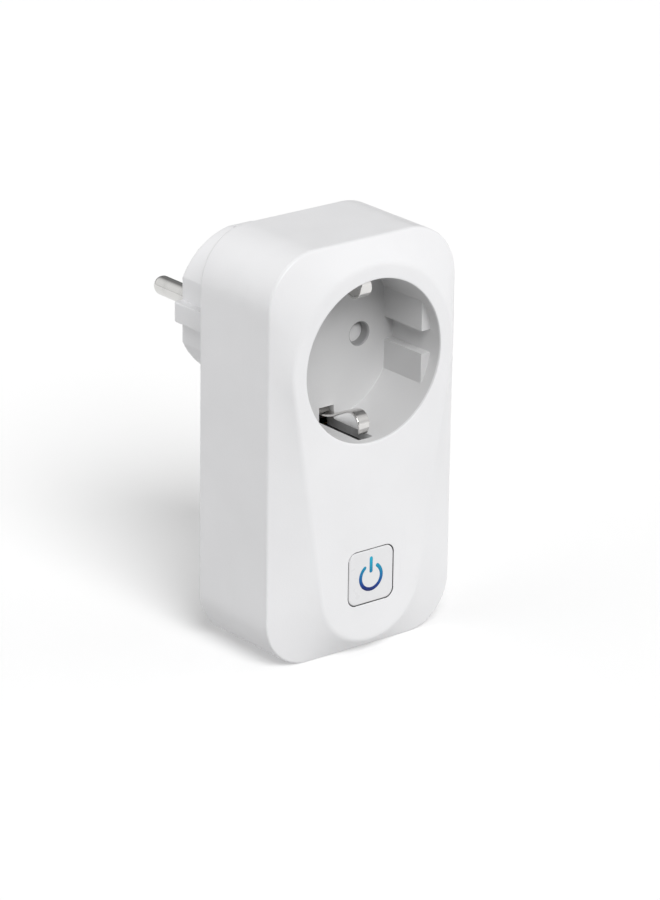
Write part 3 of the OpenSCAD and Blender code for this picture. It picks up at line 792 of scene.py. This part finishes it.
def socket_well():
    """The recess: its shell joined with the additions and cut by the holes."""
    def solid(name, shell, clean):
        o = bpy.data.objects.new(name, raw_mesh(name, shell, clean))
        bpy.context.scene.collection.objects.link(o)
        return o

    raw = solid("well_raw", recess_shell(), True)
    extra = solid("well_add", recess_additions(), False)
    cutter = solid("well_cut", recess_cuts(), False)
    for other, operation in ((extra, "UNION"), (cutter, "DIFFERENCE")):
        m = raw.modifiers.new("b", "BOOLEAN")
        m.operation = operation
        m.object = other
        m.solver = "EXACT"
    deps = bpy.context.evaluated_depsgraph_get()
    done = bpy.data.meshes.new_from_object(raw.evaluated_get(deps))
    for o in (raw, extra, cutter):
        bpy.data.objects.remove(o, do_unlink=True)
    shade(done, 30)
    done.name = "recess"
    recess = finish_piece("recess", done, WELL_WHITE_PAINTED_SHADE, "shell", ["socket_well"])
    # Painted shade: the clip slots are black below their edges, and the bores of the pin holes a darker grey
    done.materials.append(BLACK)
    done.materials.append(BORE_PAINTED_SHADE)
    for f in done.polygons:
        x, y, z = (c / MM for c in f.center)
        if abs(x) < 2.25 and 20.2 < abs(z - WELL_Z) < 21.8 and y > FRONT + 2.8:
            f.material_index = 1
        if min(math.hypot(x - q, z - WELL_Z) for q in (-PIN_X, PIN_X)) < 3.0 and y > FLOOR + 0.05:
            f.material_index = 2
    return recess


socket_well()


# ---------------------------------------------------------------- strips and pins

def smooth_path(points, n=8):
    """A path through the points with rounded bends."""
    out = []
    pts = [Vector(p) for p in points]
    pts = [pts[0] * 2 - pts[1]] + pts + [pts[-1] * 2 - pts[-2]]
    for i in range(1, len(pts) - 2):
        p0, p1, p2, p3 = pts[i - 1:i + 3]
        for k in range(n):
            t = k / n
            out.append(0.5 * ((2 * p1) + (p2 - p0) * t + (2 * p0 - 5 * p1 + 4 * p2 - p3) * t * t
                              + (3 * p1 - p0 - 3 * p2 + p3) * t ** 3))
    out.append(pts[-2])
    return out


def strip(shell, path, widths, thick, corner=0.2):
    """A bent strip that is flat across X and follows (y, z) points."""
    rings = []
    count = len(path)
    for i, p in enumerate(path):
        a, b = path[max(i - 1, 0)], path[min(i + 1, count - 1)]
        d = (b - a).normalized()
        nrm = Vector((-d.y, d.x))
        w = widths(i / (count - 1)) / 2
        h = thick / 2
        c = min(corner, h * 0.8)
        section = rounded([(w, -h, c), (w, h, c), (-w, h, c), (-w, -h, c)], 3)
        rings.append(shell.ring3([(u, p.x + nrm.x * v, p.y + nrm.y * v) for u, v in section]))
    shell.chain(rings)
    shell.cap(rings[0])
    shell.cap(rings[-1])


def earth_clip(name, node_name, body_name, up):
    """Sprung strip from its pivot through the floor, over a crest and back down into the wall."""
    s = Shell()
    # Distance from the housing's back and from the recess's axis
    bends = [(-9.4, 16.6), (-11.8, 17.1), (-13.5, 17.8), (-17.4, 16.9), (-20.0, 15.6), (-22.4, 14.5),
             (-24.4, 14.05), (-26.0, 14.5), (-27.1, 15.7), (-27.4, 17.2), (-27.0, 18.7)]
    path = smooth_path([(BACK + y, WELL_Z + up * q) for y, q in bends], 6)
    strip(s, path, lambda t: CLIP_W if t < 0.85 else CLIP_W - (t - 0.85) * 5.0, 0.58)
    barrel = []
    py, pz = FRONT + 21.6, WELL_Z + up * 16.6
    for x, q in ((-1.7, 0.6), (-1.6, 0.78), (1.6, 0.78), (1.7, 0.6)):
        barrel.append(s.ring3([(x, py + q * math.cos(TAU * i / 32), pz + q * math.sin(TAU * i / 32))
                               for i in range(32)]))
    s.chain(barrel)
    s.cap(barrel[0])
    s.cap(barrel[-1])
    return piece(name, s, NICKEL, body_name, [node_name], sharp=45)


earth_clip("clip_strip_upper", "upper_earth_clip", "upper_clip", 1)
earth_clip("clip_strip_lower", "lower_earth_clip", "lower_clip", -1)


def plug_earth(name, node_name, up):
    """Bright strip that lies in the boss's groove and turns in to the earth strap."""
    s = Shell()
    top = BOSS_R - 0.3
    bends = [(1.9, 14.45), (1.9, 16.5), (2.02, 17.8), (2.5, top - 0.1), (3.4, top), (8.0, top + 0.02),
             (13.0, top + 0.02), (17.0, top), (18.1, top - 0.12), (18.6, top - 0.4)]
    path = smooth_path([(BACK + y, PLUG_Z + up * q) for y, q in bends], 5)
    strip(s, path, lambda t: 6.0 if t < 0.95 else 6.0 - (t - 0.95) * 16, 0.55)
    leg = smooth_path([(BACK - 3.4, PLUG_Z + up * 14.6), (BACK - 1.0, PLUG_Z + up * 14.6),
                       (BACK + 2.1, PLUG_Z + up * 14.6)], 3)
    strip(s, leg, lambda t: 6.0, 0.75)
    return piece(name, s, NICKEL, "shell", [node_name], sharp=45)


plug_earth("plug_earth_strip_upper", "upper_plug_earth", 1)
plug_earth("plug_earth_strip_lower", "lower_plug_earth", -1)


def lathe_y(name, x, z, profile, material, node_name, n=64):
    """A turned piece along Y from (depth, radius) steps."""
    s = Shell()
    rings = [s.ring(circle(x, z, r, n), y) for y, r in profile]
    s.chain(rings)
    s.cap(rings[0])
    s.cap(rings[-1])
    return piece(name, s, material, "shell", [node_name], sharp=35)


def pin_profile():
    """Depth and radius from the riveted tail, over the collar and neck, to the domed tip."""
    tip, r = PIN[1][1], 2.4
    out = [(BOSS_FACE + y, q) for y, q in
           ((-8.4, 1.45), (-8.2, 1.6), (-3.6, 1.6), (-3.6, 3.5), (-3.5, 3.6), (-2.1, 3.6), (-2.0, 3.5),
            (-2.0, 2.2), (-0.02, 2.2), (0.0, 2.32), (0.12, r), (4.0, r), (10.0, r))]
    out.append((tip - r, r))
    for k in range(1, 13):
        a = math.radians(90 * k / 12.6)
        out.append((tip - r + r * math.sin(a), r * math.cos(a)))
    out.append((tip, 0.12))
    return out


for sx, label in ((1, "line"), (-1, "neutral")):
    lathe_y(label + "_pin_turned", sx * PIN_X, PLUG_Z, pin_profile(), PIN_NICKEL, label + "_pin")


# ---------------------------------------------------------------- button

ICON_R = 3.1
ICON_HALF = 0.45
ICON_Z = BUTTON_Z - 0.25
ICON_GAP = 37.0


def ring_symbol(grow=0.0, n=72):
    """The open ring of the power symbol as one closed outline with round ends."""
    h = ICON_HALF + grow
    a0, a1 = 90 + ICON_GAP, 450 - ICON_GAP
    out = arc(0, ICON_Z, ICON_R + h, a0, a1, n)
    cx, cz = ICON_R * math.cos(math.radians(a1)), ICON_Z + ICON_R * math.sin(math.radians(a1))
    out += arc(cx, cz, h, a1, a1 + 180, 10)[1:-1]
    out += arc(0, ICON_Z, ICON_R - h, a1, a0, n)
    cx, cz = ICON_R * math.cos(math.radians(a0)), ICON_Z + ICON_R * math.sin(math.radians(a0))
    out += arc(cx, cz, h, a0 + 180, a0 + 360, 10)[1:-1]
    return out


def bar_symbol(grow=0.0):
    """The power symbol's upright bar with round ends."""
    h = ICON_HALF + grow
    low, high = ICON_Z + 1.45, ICON_Z + 4.6
    return arc(0, high, h, 0, 180, 12) + arc(0, low, h, 180, 360, 12)


def button():
    """The square cap with its cut-out symbol, and the clear guide that fills it."""
    s = Shell()
    edge = []
    w = BUTTON_W
    for d, y in ((0.42, 0.0), (0.25, 0.02), (0.1, 0.08), (0.02, 0.2), (0.0, 0.4), (0.0, 2.05)):
        edge.append(s.ring(square(w - 2 * d, BUTTON_Z, 2.2 - d), FRONT + y))
    edge.append(s.ring(square(w + 1.8, BUTTON_Z, 2.2), FRONT + 2.05))
    edge.append(s.ring(square(w + 1.8, BUTTON_Z, 2.2), FRONT + 2.8))
    edge.append(s.ring(square(10.0, BUTTON_Z, 1.0), FRONT + 2.8))
    edge.append(s.ring(square(10.0, BUTTON_Z, 1.0), FRONT + 1.6))
    s.chain(edge)
    cuts = []
    for outline in (ring_symbol, bar_symbol):
        a = s.ring(outline(0.03), FRONT)
        b = s.ring(outline(0.02), FRONT + 0.03)
        c = s.ring(outline(0.02), FRONT + 1.6)
        s.chain([a, b, c])
        cuts.append((a, c))
    s.fill(s.edge(edge[0], 0.3), *[c[0] for c in cuts])
    s.fill(edge[-1], *[c[1] for c in cuts])
    cap = piece("button_cap_moulding", s, BUTTON_WHITE, "button", ["button_cap"], sharp=35)
    cap.data.materials.append(GAP_PAINTED_SHADE)
    # Painted shade: the cap's sides behind its front edge, inside the gap, are dark grey
    for f in cap.data.polygons:
        x, y, z = (c / MM for c in f.center)
        if max(abs(x), abs(z - BUTTON_Z)) > BUTTON_W / 2 - 0.03 and y > FRONT + 0.15:
            f.material_index = 1
    g = Shell()
    for outline in (ring_symbol, bar_symbol):
        rings = [g.ring(outline(d), FRONT + y) for d, y in
                 ((-0.06, 0.0), (-0.01, 0.02), (0.0, 0.06), (0.0, 1.7))]
        g.chain(rings)
        g.fill(rings[0])
        g.fill(rings[-1])
    plate = [g.ring(square(q, BUTTON_Z, 0.9), FRONT + y) for q, y in
             ((9.6, 1.62), (9.8, 1.72), (9.8, 2.5), (9.6, 2.6))]
    g.chain(plate)
    g.cap(plate[0])
    g.cap(plate[-1])
    foot = [g.ring(circle(0, BUTTON_Z, q, 40), FRONT + y) for q, y in ((1.6, 2.55), (1.6, 2.85), (1.5, 2.95))]
    g.chain(foot)
    g.cap(foot[0])
    g.cap(foot[-1])
    piece("power_symbol_guide", g, SYMBOL, "button", ["light_guide"], sharp=35)


button()


# ---------------------------------------------------------------- floor, lights and camera

# Broad soft glows in three strengths. The left flank, the left rear edge and the right front's
# low side are lit strongly, the right and the underside less, and the back only faintly.
STRONG, MEDIUM, WEAK, FILL = 0.8, 0.65, 0.35, 0.015
LIGHTS = [((-1, 0, 0), STRONG), ((-1, 1, 1), STRONG), ((1, -1, -1), STRONG),
          ((1, -1, 0), MEDIUM), ((1, 0, 1), MEDIUM), ((0, 0, -1), MEDIUM), ((0, 1, 0), WEAK)]
KEY = 2.4


def studio():
    """Pale floor and soft light from several directions."""
    world = bpy.data.worlds.new("studio")
    bpy.context.scene.world = world
    world.use_nodes = True
    nodes, links = world.node_tree.nodes, world.node_tree.links
    coord = nodes.new("ShaderNodeTexCoord")
    level = None
    for towards, value in LIGHTS:
        dot = nodes.new("ShaderNodeVectorMath")
        dot.operation = "DOT_PRODUCT"
        dot.inputs[1].default_value = Vector(towards).normalized()
        links.new(coord.outputs["Generated"], dot.inputs[0])
        lobe = nodes.new("ShaderNodeMapRange")
        lobe.interpolation_type = "SMOOTHSTEP"
        lobe.inputs["From Min"].default_value = 0.55
        links.new(dot.outputs["Value"], lobe.inputs["Value"])
        add = nodes.new("ShaderNodeMath")
        add.operation = "MULTIPLY_ADD"
        links.new(lobe.outputs["Result"], add.inputs[0])
        add.inputs[1].default_value = value
        if level is None:
            add.inputs[2].default_value = FILL
        else:
            links.new(level, add.inputs[2])
        level = add.outputs[0]
    # The room itself looks as white as the floor, so that low views have no horizon
    path = nodes.new("ShaderNodeLightPath")
    seen = nodes.new("ShaderNodeMix")
    links.new(path.outputs["Is Camera Ray"], seen.inputs["Factor"])
    links.new(level, seen.inputs["A"])
    seen.inputs["B"].default_value = 1.0
    links.new(seen.outputs["Result"], nodes["Background"].inputs["Strength"])
    nodes["Background"].inputs["Color"].default_value = (1, 1, 1, 1)
    m = bpy.data.meshes.new("floor")
    s = 4.0
    m.from_pydata([(-s, -s, 0), (s, -s, 0), (s, s, 0), (-s, s, 0)], [], [(0, 1, 2, 3)])
    floor = bpy.data.objects.new("floor", m)
    bpy.context.scene.collection.objects.link(floor)
    p = Paint("floor", 0.9, specular=0.1)
    p.bsdf.inputs["Base Color"].default_value = (0.97, 0.97, 0.97, 1)
    p.bsdf.inputs["Emission Color"].default_value = (1, 1, 1, 1)
    p.bsdf.inputs["Emission Strength"].default_value = 0.03
    floor.data.materials.append(p.mat)
    floor.visible_diffuse = False
    floor.visible_shadow = False


def key_light():
    """The main light, a wide one from the front and above."""
    light = bpy.data.lights.new("key", "SUN")
    light.energy = KEY
    light.angle = math.radians(36)
    obj = bpy.data.objects.new("key", light)
    obj.location = (-0.3, -0.9, 0.9)
    obj.rotation_euler = Vector((-0.35, -1, 1)).to_track_quat("Z", "Y").to_euler()
    bpy.context.scene.collection.objects.link(obj)


def camera():
    """A long lens from the front left and above, upright but for a slight roll."""
    target = Vector((0.0, -0.0195, 0.048))
    az, el, roll, dist = math.radians(38.7), math.radians(20.45), math.radians(0.79), 1.03816
    away = Vector((-math.sin(az) * math.cos(el), -math.cos(az) * math.cos(el), math.sin(el)))
    cam = bpy.data.cameras.new("camera")
    cam.sensor_width = 36.0
    cam.lens = 177.47
    cam.shift_y = -0.0085
    cam.clip_end = 20.0
    obj = bpy.data.objects.new("camera", cam)
    obj.location = target + away * dist
    obj.rotation_mode = "QUATERNION"
    obj.rotation_quaternion = (-away).to_track_quat("-Z", "Y") @ Quaternion((0, 0, 1), roll)
    bpy.context.scene.collection.objects.link(obj)
    bpy.context.scene.camera = obj


studio()
key_light()
camera()

bpy.context.scene.view_settings.view_transform = "Standard"
